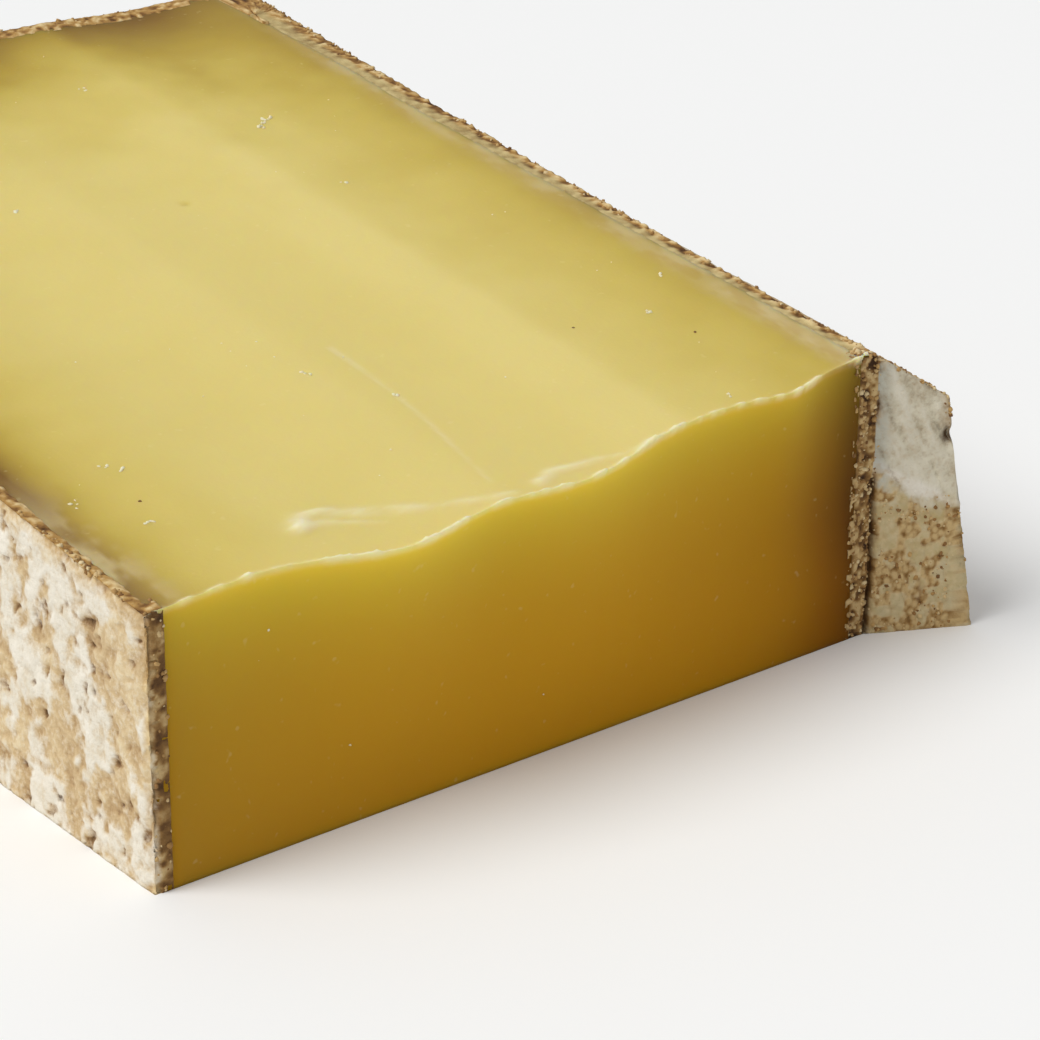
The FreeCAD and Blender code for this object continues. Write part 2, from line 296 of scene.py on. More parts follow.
def reach_to(distance, start, direction, z):
    """How far along a level ray a distance function turns positive, by halving the span 26 times."""
    near = np.full_like(z, -4.0)
    far = np.full_like(z, FURTHEST)
    for _ in range(26):
        middle = (near + far) / 2
        out = distance(start[..., 0] + middle * direction[..., 0],
                       start[..., 1] + middle * direction[..., 1], z) > 0
        near, far = np.where(out, near, middle), np.where(out, middle, far)
    return (near + far) / 2


# %% [markdown]
# ## A walk round the block
# The rind runs round three sides in one strip, and folds round onto the front cut at both ends, where its
# thickness shows. The walk is a line inside the block that carries a ray pointing outwards: straight
# stretches, and turns on the spot at the corners.

# %% The walk
SPINE = [((2.2, 3.0), -90, -180), ((11.0, 149.0), -180, -270),  # pivot, and the ray's degrees there
         ((111.0, 149.0), -270, -360), ((109.2, 8.5), -360, -450)]
MID_HEIGHT = 24.0


def make_walk(samples=700):
    """Ray starts and angles along a line through the spine's knots, and the outline they reach at mid height.

    Every leg gets the same number of samples. The length along the outline is the place of each.
    """
    knots = np.array([(*pivot, angle) for pivot, *turn in SPINE for angle in turn])
    share = np.linspace(0, 1, samples)[:, None]
    legs = np.concatenate([here + share * (there - here) for here, there in zip(knots[:-1], knots[1:])])
    starts, angles = legs[:, :2], np.radians(legs[:, 2])
    directions = join(np.cos(angles), np.sin(angles))
    reach = reach_to(outside, starts, directions, np.full(len(starts), MID_HEIGHT))
    outline = starts + directions * reach[:, None]
    length = np.concatenate([[0], np.cumsum(np.hypot(*np.diff(outline, axis=0).T))])
    return starts, angles, length, outline


walk_starts, walk_angles, walk_length, walk_outline = make_walk()


def walk_at(place):
    """Ray starts and directions at given lengths along the outline, in mm."""
    x, y, angle = (np.interp(place, walk_length, column) for column in (*walk_starts.T, walk_angles))
    return join(x, y), join(np.cos(angle), np.sin(angle))


def length_where(condition):
    """Length along the outline at the first sample that meets a condition."""
    return float(walk_length[np.argmax(condition)])


# A stretch ends where the outline turns into the next one. The limits are mm on the block's axes.
walk_x, walk_y = walk_outline.T
at_right = walk_x > 100
LEFT_END = length_where((walk_y > 153) & (walk_x < 20))
HEEL_END = length_where((walk_y < 158) & at_right & (walk_length > LEFT_END + 20))
FLANK_END = length_where((walk_y < 9) & at_right)
WALK_END = float(walk_length[-1])
CREASE_AT = length_where((walk_x < CREASE_X) & (walk_length > FLANK_END + 5))
print("walk, mm: left, heel, flank, crease and end at", np.round([LEFT_END, HEEL_END, FLANK_END, CREASE_AT,
                                                                   WALK_END]))

# %% [markdown]
# ## Putting a grid into a mesh
# A closed strip is a grid whose rows come back to their start, with a lid at either end. The sign of its
# volume tells whether its faces point outwards, and the order of their corners is turned if not.

# %% Mesh helpers
def enclosed_volume(points, quads):
    """Six times the volume inside the quads: the sum of the triple products of their triangles' corners."""
    a, b, c, d = np.moveaxis(points[quads], 1, 0)
    return (a * (np.cross(b, c) + np.cross(c, d))).sum()


def loop_quads(columns, rows):
    """Faces of a grid of columns that each close on themselves after rows points."""
    index = np.arange(columns * rows).reshape(columns, rows)
    around = np.roll(index, -1, axis=1)
    return np.stack([index[:-1], index[1:], around[1:], around[:-1]], axis=-1).reshape(-1, 4)


def add_piece(name, points, faces, material, attributes):
    """A mesh object at the origin, riding on the root body, with one number per vertex per attribute.

    Faces of three or four corners are smooth. Lids have more corners and stay flat, with a sharp rim.
    """
    mesh = bpy.data.meshes.new(name)
    mesh.from_pydata(to_frame(points), [], faces)
    for key, values in attributes.items():
        carried = mesh.attributes.new(key, "FLOAT", "POINT")
        carried.data.foreach_set("value", np.ravel(values).astype(np.float32))
    mesh.polygons.foreach_set("use_smooth", [len(face) < 5 for face in faces])
    mesh.materials.append(material)
    mesh.update()
    piece = add_object(name, mesh)
    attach(piece, "root")
    print("%s: %d vertices, %d triangles" % (name, len(mesh.vertices),
                                             sum(len(face) - 2 for face in faces)))
    return piece


def closed_strip(name, grid, material, attributes):
    """Grid of closed columns as a piece, with a lid on its first and last column."""
    columns, rows = grid.shape[:2]
    points = grid.reshape(-1, 3)
    quads = loop_quads(columns, rows)
    first, last = np.arange(rows), (columns - 1) * rows + np.arange(rows)
    lids = [first.tolist(), last[::-1].tolist()]
    if enclosed_volume(points, quads) < 0:
        quads = quads[:, ::-1]
        lids = [lid[::-1] for lid in lids]
    return add_piece(name, points, quads.tolist() + lids, material, attributes)


def loop_normals(grid):
    """Outward unit normals of a grid of closed columns, from the steps along and around it."""
    along = np.gradient(grid, axis=0)
    around = np.roll(grid, -1, axis=1) - np.roll(grid, 1, axis=1)
    normal = np.cross(along, around)
    normal /= np.maximum(np.linalg.norm(normal, axis=-1, keepdims=True), 1e-9)
    spread = grid - grid.mean(axis=1, keepdims=True)
    return normal * np.sign((normal * spread).sum())


# %% [markdown]
# ## Nodes and colours
# Colours are written as they look on a screen. One function turns them to linear light, and another adds a
# shader node with its settings and links.

# %% Colours and the node helper
def linear(code):
    """Linear red, green, blue and alpha of a hex colour: the sRGB curve undone."""
    parts = np.array([int(code[start:start + 2], 16) for start in (1, 3, 5)]) / 255
    light = np.where(parts <= 0.04045, parts / 12.92, ((parts + 0.055) / 1.055) ** 2.4)
    return (*light.tolist(), 1.0)


def node(owner, kind, settings=None, output=0, **inputs):
    """Adds a node to a material or world and returns one of its outputs.

    Settings go onto the node, and "stops", pairs of place and colour, onto its ramp. An input, named by its
    label or i6 for number 6, gets a value, a hex colour or a link from another node's output.
    """
    made = owner.node_tree.nodes.new("ShaderNode" + kind)
    settings = dict(settings or {})
    stops = settings.pop("stops", [])
    for place, _ in stops[2:]:
        made.color_ramp.elements.new(place)
    for index, (place, code) in enumerate(stops):
        made.color_ramp.elements[index].position = place
        made.color_ramp.elements[index].color = linear(code)
    for key, value in settings.items():
        setattr(made, key, value)
    for key, value in inputs.items():
        socket = made.inputs[int(key[1:]) if key[1:].isdigit() else key.replace("_", " ")]
        if isinstance(value, bpy.types.NodeSocket):
            owner.node_tree.links.new(value, socket)
        else:
            socket.default_value = linear(value) if isinstance(value, str) else value
    return made.outputs[output] if len(made.outputs) else None


def new_material(name, *numbers):
    """An empty material, node() for it, object coordinates in mm, and the mesh's numbers by name."""
    material = bpy.data.materials.new(name)
    material.use_nodes = True
    material.node_tree.nodes.clear()
    add = partial(node, material)
    place = add("Mapping", Vector=add("TexCoord", output="Object"), Scale=(1 / MM, 1 / MM, 1 / MM))
    return material, add, place, {key: add("Attribute", {"attribute_name": key}, "Fac") for key in numbers}


COLOURS = {"data_type": "RGBA"}  # a Mix node's settings: sockets 6 and 7 in, output 2

# %% [markdown]
# ## The paste's material
# Pressed, cooked cheese paste is a dense, slightly oily protein gel. It looks soft because light enters it
# and leaves some millimetres away, so the shader has subsurface scattering and hardly any gloss. The upper
# cut is paler than the front cut: partly a drier skin, partly a painted sheen that stands in for the sky it
# would reflect, while the front cut shows the deep amber of the inside. Its upper edge carries painted light,
# a glow as if lit through from the upper cut. Towards the rind the paste is drier and browner; at the right
# end of the front cut the darkening is painted shade from the facet. The waves of the upper cut get painted
# light and shade. What follows the block's shape comes with the mesh, as numbers per point: tone, front,
# edge, olive, frost and bloom. What is random comes from noise.

# %% Paste material
def make_paste_material():
    """Gruyere paste. Its mottling is 16 mm wide, its flecks 1.3 mm and the drag of the wire 0.7 mm."""
    paste, add, place, carried = new_material("gruyere_paste", "tone", "front", "edge", "olive", "frost",
                                              "bloom")
    mottle = add("TexNoise", Vector=place, Scale=1 / 16, Detail=3.0)
    uneven = add("Math", {"operation": "MULTIPLY_ADD"}, i0=mottle, i1=0.10, i2=-0.05)
    tone = add("Math", {"operation": "ADD", "use_clamp": True}, i0=carried["tone"], i1=uneven)
    # Two ramps of one paste: the upper cut's is paler, partly a drier skin and partly a painted sheen; the
    # front cut's is the amber of the inside.
    top = add("ValToRGB", {"stops": [(0.0, "#7A5A2A"), (0.28, "#AE9440"), (0.48, "#C2AB54"),
                                     (0.75, "#D2BD69"), (1.0, "#DDCA7D")]}, Fac=tone)
    front = add("ValToRGB", {"stops": [(0.0, "#5A2E00"), (0.3, "#885402"), (0.6, "#AC7708"),
                                       (1.0, "#C68E10")]}, Fac=tone)
    # edge is painted light: a yellow glow along the front cut's upper edge, as if lit through from the upper
    # cut. olive is the paste's own colour.
    for share, code in (("olive", "#AA8226"), ("edge", "#E8D044")):
        front = add("Mix", COLOURS, 2, i0=carried[share], i6=front, i7=code)
    colour = add("Mix", COLOURS, 2, i0=carried["front"], i6=top, i7=front)
    flecks = add("TexNoise", Vector=place, Scale=1 / 1.3, Detail=1.0)
    flecks = add("MapRange", {"interpolation_type": "SMOOTHSTEP"}, Value=flecks, From_Min=0.70,
                 From_Max=0.82, To_Max=0.14)
    for share, code in ((flecks, "#EBDDA6"), (carried["frost"], "#BCA268"), (carried["bloom"], "#E6DCB4")):
        colour = add("Mix", COLOURS, 2, i0=share, i6=colour, i7=code)
    gloss = add("MapRange", Value=mottle, To_Min=0.40, To_Max=0.55)
    grain = add("TexNoise", Vector=place, Scale=1 / 0.7, Detail=3.0)
    bump = add("Bump", Strength=0.12, Distance=0.25 * MM, Height=grain)
    shader = add("BsdfPrincipled", Base_Color=colour, Roughness=gloss, Normal=bump,
                 Subsurface_Weight=0.7, Subsurface_Radius=(1.0, 0.6, 0.12), Subsurface_Scale=4.0 * MM,
                 Specular_IOR_Level=0.05)
    add("OutputMaterial", Surface=shader)
    return paste


paste_material = make_paste_material()
print("paste material:", len(paste_material.node_tree.nodes), "nodes")

# %% [markdown]
# ## The rind's material
# A natural rind: months of brushing and salting leave a tan, grainy crust. White mould lies on it like
# flour, grey-green mould in patches, and the pits between are dark brown. The crust's colour follows its
# height, dark where it lies low and between crumbs, pale on its high grains: partly bare brown crust, partly
# painted light and shade of its relief. Where the knife went through, the crust is golden brown and crumbly.
# The mesh carries how high, how mouldy, how grey and how freshly cut each point is, and fine noise makes the
# borders between them dusty instead of drawn.

# %% Rind material
def make_rind_material():
    """Mouldy crust of a cave-aged cheese. Its dust is 0.7 mm, about a clump of mould, its mottling 2.5 mm."""
    rind, add, place, carried = new_material("natural_rind", "height", "mould", "grey", "cool", "damp",
                                             "cut", "dark", "pale")
    dust = add("TexNoise", Vector=place, Scale=1 / 0.7, Detail=3.0, Roughness=0.6)
    mottle = add("TexNoise", Vector=place, Scale=1 / 2.5, Detail=3.0, Roughness=0.6)
    rough = add("Math", {"operation": "SUBTRACT"}, i0=dust, i1=0.5)
    clamped = {"operation": "MULTIPLY_ADD", "use_clamp": True}  # i0 times i1 plus i2, kept from 0 to 1
    # level: the crust's height picks its colour, dark in pits and between crumbs and pale on grains: partly
    # its own colour, partly painted light and shade.
    level = add("Math", clamped, i0=rough, i1=0.55, i2=carried["height"])
    crust = add("ValToRGB", {"stops": [(0.0, "#54391D"), (0.2, "#8A6A44"), (0.45, "#B5976C"),
                                       (0.75, "#CDB48A"), (1.0, "#DBC8A2")]}, Fac=level)
    white = add("Mix", COLOURS, 2, i0=mottle, i6="#CFC4AC", i7="#F2ECE0")
    grey = add("Mix", COLOURS, 2, i0=mottle, i6="#AAA288", i7="#ECE3C9")
    mould = add("Mix", COLOURS, 2, i0=carried["grey"], i6=white, i7=grey)
    # cool is painted shade: a blue-grey laid beside the facet's crease, and the same grey along the facet's
    # top edge.
    for share, code in (("cool", "#878D88"), ("damp", "#B8A26C")):
        mould = add("Mix", COLOURS, 2, i0=carried[share], i6=mould, i7=code)
    blotch = add("Math", {"operation": "SUBTRACT"}, i0=mottle, i1=0.5)
    cover = add("Math", {"operation": "MULTIPLY_ADD"}, i0=rough, i1=1.3, i2=carried["mould"])
    cover = add("Math", clamped, i0=blotch, i1=1.1, i2=cover)
    colour = add("Mix", COLOURS, 2, i0=cover, i6=crust, i7=mould)
    golden = add("ValToRGB", {"stops": [(0.0, "#472A0C"), (0.3, "#7E5728"), (0.6, "#B48B4C"),
                                        (1.0, "#E2C994")]}, Fac=level)
    brown = add("ValToRGB", {"stops": [(0.0, "#3A2510"), (0.5, "#6A4B28"), (1.0, "#AE8D5A")]}, Fac=level)
    crumb = add("Mix", COLOURS, 2, i0=carried["dark"], i6=golden, i7=brown)
    colour = add("Mix", COLOURS, 2, i0=carried["cut"], i6=colour, i7=crumb)
    beige = add("Mix", COLOURS, 2, i0=level, i6="#9E8654", i7="#C6B27C")
    colour = add("Mix", COLOURS, 2, i0=carried["pale"], i6=colour, i7=beige)
    bump = add("Bump", Strength=0.8, Distance=0.3 * MM, Height=dust)
    shader = add("BsdfPrincipled", Base_Color=colour, Roughness=0.85, IOR=1.4, Normal=bump)
    add("OutputMaterial", Surface=shader)
    return rind


rind_material = make_rind_material()
print("rind material:", len(rind_material.node_tree.nodes), "nodes")

# %% [markdown]
# ## Where each kind of rind grows
# The left face has dusty white mould over tan crust. The facet at the right of the front cut is smooth and
# grey above, and breaks up into golden crumbs and grey-green mould below a pale fold. Heel and right flank,
# which lay against shelf and neighbours, are duller. Each kind is a function of the same few random fields,
# and shares along the walk blend them.

# %% Random fields of the crust
GRAIN = 1.3  # mm, spacing of the crust's granules


def crust_fields(points):
    """Random fields from 0 to 1 that every kind of rind draws on, named for what they shape."""
    wobble = join(*(rough_noise(points, 2.6, seed, 2) for seed in (31, 34, 37))) - 0.5
    nearest, _ = granules(points + wobble * 3.2, GRAIN, 5)
    leaning = points * [1, 1, 0.7] + points[..., 1:2] * [0, 0, 0.35]
    return {"grain": np.clip(1.15 - nearest, 0, 1),
            "grit": rough_noise(points + wobble, 1.5, 44),
            "lumps": rough_noise(points, 4.2, 51),
            "swell": rough_noise(points, 11.0, 41),
            "growth": rough_noise(leaning + wobble * 1.5 + 70, 4.2, 71, 4),
            "pits": 1 - ease(rough_noise(points + wobble, 1.7, 61, 2), 0.24, 0.35)}


# %% Left face, shelf side and facet
CHIP, CHIP_WIDTH = np.array([122.2, 1.4, 27.5]), 0.9  # a small dark nick in the facet's outer edge
FOLD_AT = 0.54  # share of the facet's height where its smooth part ends


def corner_crumbs(place, level):
    """Where crumbs cling to the facet's upper outer corner."""
    return ease(level, 0.70, 0.80) * ease(CREASE_AT - 9 - place, 0, 3)


def centred(field):
    """Grit, lumps, grain and swell, less a half: from -0.5 to 0.5."""
    return [field[name] - 0.5 for name in ("grit", "lumps", "grain", "swell")]


def left_finish(field, points, place, level):
    """Relief in mm, height, mould, grey and gold of the left face: bloom where growth beats chance."""
    grit, lumps, grain, swell = centred(field)
    growth = field["growth"] - 0.10 * ease(50 - points[..., 1], 0, 50) * (1 - level)
    bloom = (ease(growth + 0.30 * grit, 0.36, 0.54) * (1 - 0.7 * ease(level + 0.1 * lumps, 0.90, 0.98))
             * (1 - 0.5 * ease(4 - place, 0, 2)))
    relief = (0.60 * grit + 0.30 * lumps + 0.22 * grain - 0.4 * field["pits"] * (1 - 0.5 * bloom)
              + 0.08 * bloom + 0.3 * swell)
    height = 0.35 * field["grain"] + 0.8 * grit + 0.4 * field["lumps"] - 0.5 * field["pits"] + 0.30
    return relief, height, bloom * (1 - 0.7 * field["pits"]), 0.08, 0.0


def shelf_finish(field, points, place, level):
    """The same five numbers for heel and right flank: duller, more granular, with thin grey-green mould."""
    grit, lumps, grain, swell = centred(field)
    mould = 0.62 * ease(field["growth"] + 0.3 * grit, 0.46, 0.64)
    relief = 0.45 * grit + 0.45 * lumps + 0.20 * grain - 0.4 * field["pits"] + 0.5 * swell
    height = 0.35 * field["grain"] + 0.7 * grit + 0.3 * field["lumps"] - 0.45 * field["pits"] + 0.22
    return relief, height, mould * (1 - 0.6 * field["pits"]), 0.45 + 0.6 * (field["swell"] - 0.2), 0.0


def facet_finish(field, points, place, level):
    """The same for the facet: streaks slant down to the right, a fold at half height, crumbs below it."""
    grit, lumps, _, swell = centred(field)
    tilted = level + 0.01 * (CREASE_AT - 6 - place) + 0.2 * swell
    lower = 1 - ease(tilted + 0.15 * lumps + 0.2 * grit, 0.45, FOLD_AT)
    fold = np.exp(-((tilted - FOLD_AT) / 0.018) ** 2) * ease(field["lumps"], 0.3, 0.55)
    x, y, z = np.moveaxis(points, -1, 0)
    slanted = join(2.1 * x + z, 0.8 * y, 0.12 * (2.1 * z - x)) / 2.3
    streaks = 1.5 * (rough_noise(slanted, 0.8, 64, 2) - 0.5)
    chip = np.exp(-((points - CHIP) ** 2).sum(axis=-1) / CHIP_WIDTH ** 2)
    corner = np.maximum(corner_crumbs(place, level),
                        ease(level, 0.90, 0.95) * ease(CREASE_AT - 5 - place, 0, 2))
    speckled = 0.3 * field["growth"] + 0.7 * rough_noise(points, 1.6, 88, 2)
    gold = np.maximum(lower * ease(speckled, 0.49, 0.55), corner * ease(field["grit"], 0.3, 0.5))
    crumbly = 0.9 - 1.1 * granules(points + 0.3 * slanted, 0.9, 67)[0]
    broken = np.maximum(lower, corner)
    relief = 0.25 * streaks + 0.2 * lumps + 0.25 * fold - chip + broken * (0.5 * grit + 0.3 * crumbly)
    height = 0.55 + streaks * (1 - lower) + broken * crumbly - chip
    mould = (1 - 0.25 * lower) * (1 - chip) + 0.4 * streaks
    return relief, height, mould, 0.66 - 0.7 * streaks - fold + 0.5 * lower, gold


def rind_shares(place):
    """Shares of left face, shelf side and facet at lengths along the walk: eased steps that add up to 1."""
    shelf = ease(place, LEFT_END - 14, LEFT_END + 6)
    facet = ease(place, FLANK_END + 1, FLANK_END + 5)
    return 1 - shelf, shelf - facet, facet


def rind_finish(points, place, level):
    """The five numbers of all kinds, blended by their shares. The relief stays under the smooth skin."""
    field = crust_fields(points)
    kinds = [kind(field, points, place, level) for kind in (left_finish, shelf_finish, facet_finish)]
    shares = rind_shares(place)
    relief, height, mould, grey, gold = (sum(share * kind[part] for share, kind in zip(shares, kinds))
                                         for part in range(5))
    return np.minimum(relief - 0.18, 0.0), *(np.clip(part, 0, 1) for part in (height, mould, grey, gold))


# %% [markdown]
# ## Building the rind
# Each stretch of rind is a closed strip. Every column goes up the outer skin, across the cut at the top, down
# the inner wall against the paste and back along the board. Rays give the smooth skin, and the relief moves
# it along its normals, almost only inwards, because the CAD block is the outermost size. Four stretches keep
# each mesh light, with columns 0.2 to 0.4 mm apart.

# %% The smooth strip
TOP_ROWS = 11  # points across the cut edge of the rind
CLOSER_TO_TOP = [0, 0.8, 1], [0, 0.86, 1]  # share of the rows, and share of the height they reach


def strip_grid(place, rows):
    """Smooth columns of rind at lengths along the walk, and the height of the upper cut at each."""
    origin, direction = walk_at(place)
    top = top_z(origin[:, 0], origin[:, 1])
    for _ in range(5):
        out_top = reach_to(outside, origin, direction, top)
        at = origin + direction * out_top[:, None]
        top = top_z(at[:, 0], at[:, 1])
    z = top[:, None] * np.interp(np.linspace(0, 1, rows), *CLOSER_TO_TOP)
    out = reach_to(outside, origin[:, None], direction[:, None], z)
    wall = np.minimum(reach_to(inside_wall, origin, direction, top), out_top - LEAST_RIND)[:, None]
    strip = out_top[:, None] + (wall - out_top[:, None]) * np.linspace(0, 1, TOP_ROWS)[1:]
    reach = np.concatenate([out, strip, wall, wall, (wall + out[:, :1]) / 2], axis=1)
    plan = origin[:, None] + direction[:, None] * reach[..., None]
    strip_z = top_z(*np.moveaxis(plan[:, rows:rows + TOP_ROWS - 1], -1, 0))
    end_z = strip_z[:, -1:]
    height = np.concatenate([z, strip_z, end_z / 2, 0 * end_z, 0 * end_z], axis=1)
    return np.concatenate([plan, height[..., None]], axis=-1), top


# %% Relief and pieces of rind
FRONT_END = 1.6  # mm of the walk that lie on the front cut, at the left


def cut_finish(grid, place, level):
    """Relief and height of cut crust, crumbs 0.9 mm wide, the crease where painted shade darkens it, and how
    deep its gap is.
    """
    crumbs = rough_noise(grid, 0.9, 15, 2)
    depth = 0.26 + 0.64 * ease(place, LEFT_END, CREASE_AT)
    relief = 0.12 + depth * (crumbs - 0.6) - 0.3 * depth * rough_noise(grid, 2.2, 81)
    ragged = rough_noise(grid, 2.5, 85)
    crease = np.exp(-((place + 0.9 * ragged - CREASE_AT + 0.50) / 0.35) ** 2)
    crease = crease * ease(soft_noise(grid, 4.0, 86) + 0.3 * (1 - level), 0.25, 0.6)
    gap = crease * (0.4 + 1.4 * (1 - ease(level, 0.35, 0.75)))
    contrast = 1.3 + 0.9 * ease(place, LEFT_END, CREASE_AT)
    return relief, np.clip(contrast * (crumbs - 0.5) + 0.56, 0, 1), crease, gap


def rind_strip(name, start, end, spacing, rows):
    """A closed stretch of rind between two lengths along the walk, with its relief and its numbers."""
    place = np.linspace(start, end, int((end - start) / spacing) + 1)
    grid, top = strip_grid(place, rows)
    row = np.arange(grid.shape[1])
    skin = (row < rows) * 1.0
    cut_top = ((row >= rows - 1) & (row < rows + TOP_ROWS - 1)) * 1.0
    level = np.clip(grid[..., 2] / top[:, None], 0, 1)
    place = place[:, None] + 0 * level
    on_front = ((place + 1.2 * (rough_noise(grid, 1.5, 88) - 0.5) < FRONT_END)
                | (place + 0.9 * (rough_noise(grid, 2.5, 85) - 0.3) > CREASE_AT - 0.6))

    relief, height, mould, grey, gold = rind_finish(grid, place, level)
    crumb_relief, crumb_height, crease, gap = cut_finish(grid, place, level)
    cut = np.clip(cut_top + on_front * skin, 0, 1)
    worn = np.maximum(ease(level, 0.955, 1.0), ease(FRONT_END + 2.6 - place, 0, 1.6)) * skin
    inwards = np.clip((row - rows + 1) / TOP_ROWS, 0, 1) * cut_top
    pale = (ease(inwards + 0.3 * (rough_noise(grid, 2.0, 84) - 0.5), 0.25, 0.55)
            * ease(place, HEEL_END - 8, HEEL_END + 8) * (1 - on_front))
    moved = np.where(cut > 0.5, crumb_relief * (1 - 0.7 * pale) - 0.1 * pale
                     - 0.2 * ease(inwards, 0.55, 0.91),
                     relief * skin - 0.8 * worn * rough_noise(grid, 1.8, 83))
    moved = (moved - gap * skin) * np.clip(skin + cut_top, 0, 1)
    normals = loop_normals(grid)
    inner_edge = rows + TOP_ROWS - 2
    normals[:, inner_edge] = normals[:, inner_edge - 1]  # its own is level, and would leave a ridge
    grid = np.clip(grid + normals * moved[..., None], *BOX)
    grid[:, 0, 2] = 0

    fresh = np.clip(cut + 0.8 * worn * ease(soft_noise(grid, 2.0, 82), 0.3, 0.6) + gold * skin, 0, 1)
    # cool: a blue-grey, painted shade beside the crease; it also lies along the facet's top edge.
    cool = ease(place, CREASE_AT - 4, CREASE_AT - 1) * ease(level, 0.4, 0.6) + 0.6 * ease(level, 0.95, 1)
    damp = ((1 - ease(level + 0.3 * (mould - 0.8), 0.42, 0.56))
            * (0.45 + 0.7 * rough_noise(grid, 1.8, 87)))
    facet_share = rind_shares(place)[2]
    # Along the crease height and mould fall away: painted shade, the darkest crust laid in its gap.
    numbers = {"height": np.where(cut > 0.5, crumb_height, height) * (1 - 0.9 * crease),
               "mould": mould * (1 - fresh) * (1 - crease),
               "grey": grey,
               "cool": 0.5 * cool * facet_share,
               "damp": damp * facet_share,
               "cut": fresh,
               "dark": np.where(place < FRONT_END + 0.6, 0.6 * skin, 0.6 * (place > FLANK_END)),
               "pale": pale}
    piece = closed_strip(name, grid, rind_material, numbers)
    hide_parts("cheese_block")
    shown = slice(0, rows + TOP_ROWS - 1)
    return grid[:, shown], normals[:, shown], place[:, shown], level[:, shown]


left_rind = rind_strip("rind_left", 0.0, LEFT_END, 0.35, 132)
heel_rind = rind_strip("rind_heel", LEFT_END, HEEL_END, 0.42, 150)
flank_rind = rind_strip("rind_flank", HEEL_END, FLANK_END, 0.42, 150)
facet_rind = rind_strip("rind_facet", FLANK_END, WALK_END, 0.2, 200)

# %% [markdown]
# ## Marks on the upper cut
# Near the front edge the wire skipped and left two shavings: low ridges with a smooth hollow between ridge
# and edge. A faint scratch runs back from the first, and a small pit lies further back. Each runs along a
# path of a few points, and a bell curve of the distance from the path gives its section.

# %% Paths and ridges
SHAVING = np.array([(24.4, 7.4), (26.1, 8.8), (28.7, 9.2), (31.3, 7.7), (37.0, 4.8), (41.2, 2.8),
                    (46.5, 1.2), (50.6, 0.6)])
SHAVING_LIP = np.array([(24.6, 6.9), (27.4, 7.0), (30.6, 5.4), (34.0, 3.4)])
SECOND_SHAVING = np.array([(55.0, 1.7), (57.7, 3.0), (61.8, 2.8), (67.5, 2.3), (73.1, 2.6)])
SCRATCH = np.array([(53.9, 44.0), (53.9, 37.4), (53.5, 29.2), (52.6, 20.6), (50.9, 11.0), (49.7, 4.4)])
PIT, PIT_WIDTH = (62.5, 92.2), 0.7


def ridge(x, y, path, width, taper):
    """Bell curve of the distance in plan to a run of straight pieces, narrower and lower towards its end."""
    nearest = np.full(x.shape, 1e9)
    along = np.zeros(x.shape)
    for index, (here, there) in enumerate(zip(path[:-1], path[1:])):
        step = there - here
        part = np.clip(((x - here[0]) * step[0] + (y - here[1]) * step[1]) / (step @ step), 0, 1)
        distance = np.hypot(x - here[0] - part * step[0], y - here[1] - part * step[1])
        along = np.where(distance < nearest, (index + part) / (len(path) - 1), along)
        nearest = np.minimum(nearest, distance)
    left = 1 - taper * along
    return left * np.exp(-(nearest / (width * left)) ** 2)


# %% [markdown]
# ## The paste
# One closed body, made of columns that run up the front cut, over its edge, back along the upper cut, down
# inside the heel's rind and forward along the board. Its sides and back tuck under the crumbs of the rind, so
# the border is as ragged as they are. Rows lie close together at the edge, for the little burr that the wire
# leaves.

# %% The smooth paste
FRONT_ROWS, TOP_PASTE_ROWS, HIDDEN_ROWS, PASTE_COLUMNS = 84, 270, 10, 212
CLOSER_TO_EDGE = 1.25  # power that gathers the rows at the front edge
TUCK, RIGHT_TUCK = 0.8, 1.6  # mm that the paste reaches under the rind


def heel_y(x):
    """Where the rind's inner side lies at the heel at mid height: the rim's outline, RIND further in."""
    out = np.clip(np.abs(x - RIM_MIDDLE) - RIM_FLAT, 0, HEEL_CORNER)
    crown = CROWN_CENTRE + np.sqrt(CROWN_RADIUS ** 2 - (x - RIM_MIDDLE) ** 2)
    corner = CORNER_CENTRE + np.sqrt(HEEL_CORNER ** 2 - out ** 2)
    return np.where(out > 0, corner, crown) + HUB_Y - RIND


def smooth_paste():
    """The paste as a grid of closed columns, without marks, and the front edge's place for each column."""
    x = np.linspace(LEFT_RIND - TUCK, PASTE_WIDTH + RIGHT_TUCK, PASTE_COLUMNS)[:, None]
    edge_y = front_y(x, top_z(x, 0 * x))
    for _ in range(4):
        edge_z = top_z(x, edge_y)
        edge_y = front_y(x, edge_z)
    z = edge_z * (1 - (1 - np.linspace(0, 1, FRONT_ROWS)) ** CLOSER_TO_EDGE)
    front = join(x, front_y(x, z), z)
    back = heel_y(x) + TUCK
    y = edge_y + (back - edge_y) * np.linspace(0, 1, TOP_PASTE_ROWS)[1:] ** CLOSER_TO_EDGE
    top = join(x, y, top_z(x, y))
    fall = np.linspace(1, 0, HIDDEN_ROWS)[1:]
    heel = join(x, back, top[:, -1:, 2] * fall)
    foot = front[:, :1, 1]
    board = join(x, foot + (back - foot) * fall[:-1], 0.0)
    return np.concatenate([front, top, heel, board], axis=1), edge_y, edge_z


